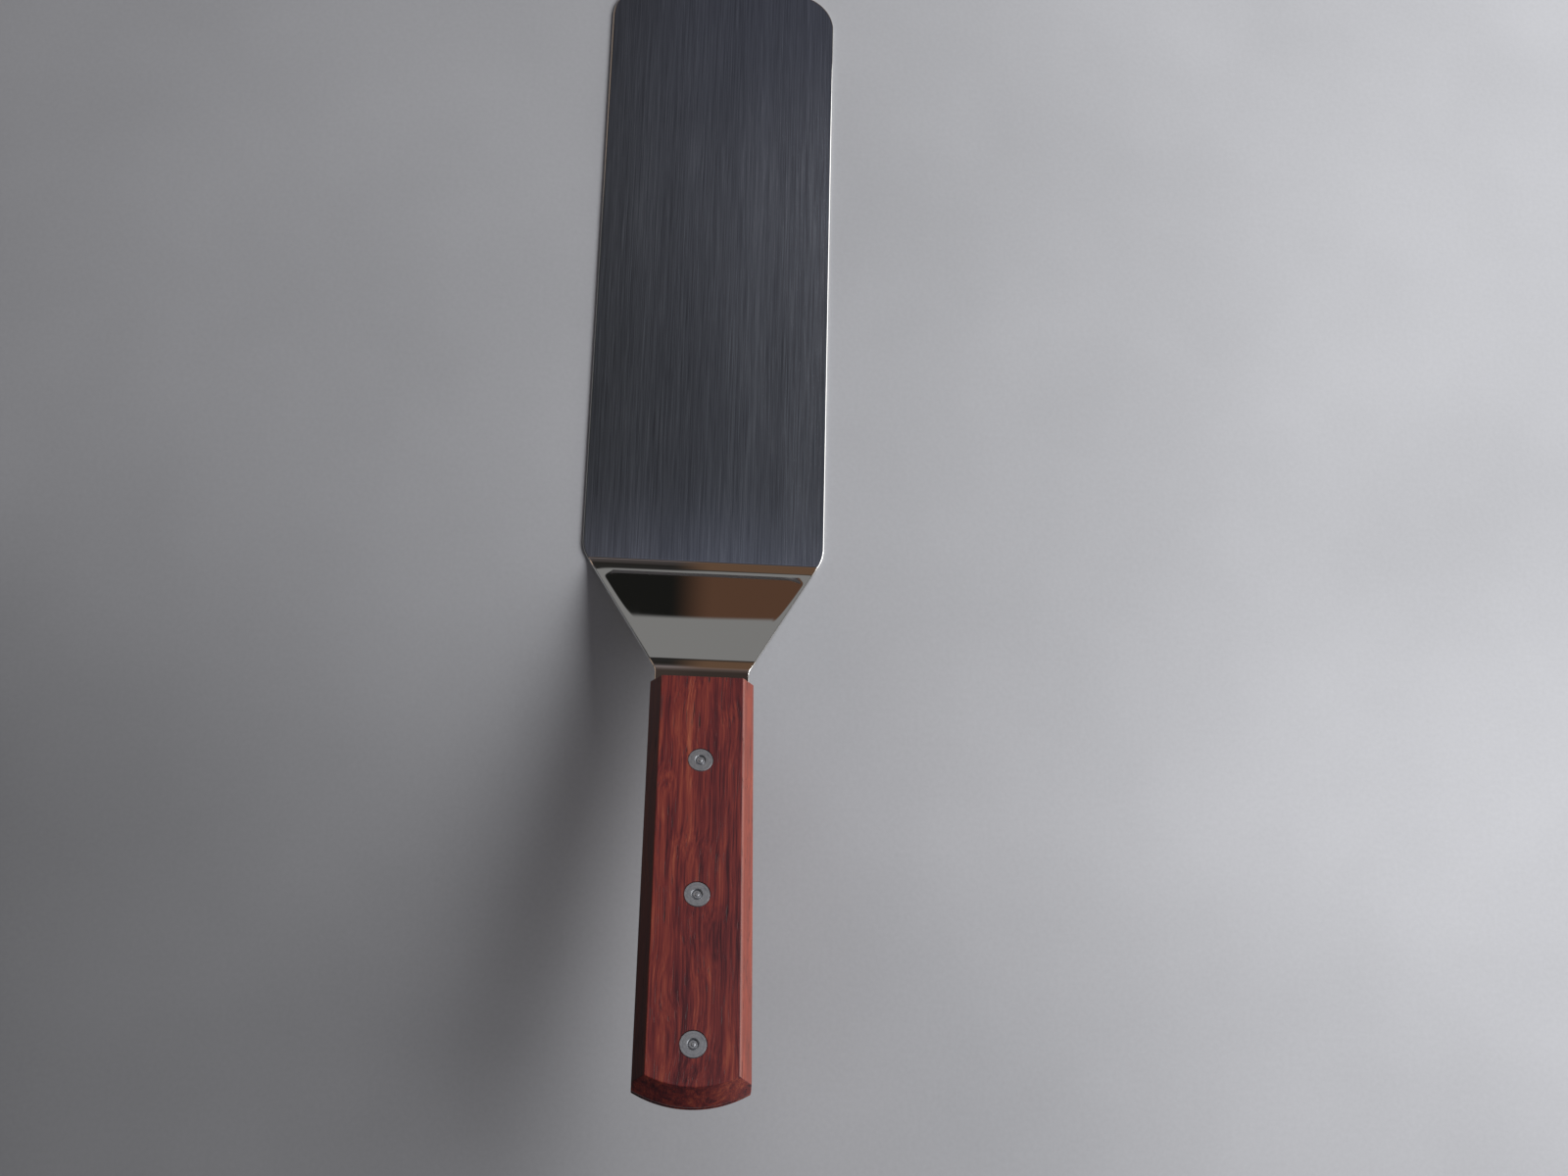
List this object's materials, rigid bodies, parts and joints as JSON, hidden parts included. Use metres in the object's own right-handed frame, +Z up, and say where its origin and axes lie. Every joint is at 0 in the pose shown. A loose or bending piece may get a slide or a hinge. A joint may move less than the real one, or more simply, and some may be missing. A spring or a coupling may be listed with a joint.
{
  "type": "offset turner",
  "caption": "Kitchen turner: a long round-cornered steel blade, a raised neck, and a chamfered wooden handle riveted to the tang.",
  "frame": {"origin": "middle of the blade's flat underside", "axes": "+Y runs from the handle to the blade's tip, +X is to the right seen from above, +Z is up, so the blade lies flat on Z = 0"},
  "size_m": [0.0762, 0.3643, 0.0784],
  "materials": {
    "steel": "brushed lengthwise on the blade, mirror polished on the neck and rim",
    "wood": "oiled red hardwood with a lengthwise figure",
    "rivet": "satin, turned"
  },
  "bodies": {
    "root": {"blade_neck_tang": "steel", "top_handle_scale": "wood", "bottom_handle_scale": "wood", "front_rivet_barrel": "rivet", "front_rivet_pin": "rivet", "middle_rivet_barrel": "rivet", "middle_rivet_pin": "rivet", "rear_rivet_barrel": "rivet", "rear_rivet_pin": "rivet"}
  },
  "joints": []
}
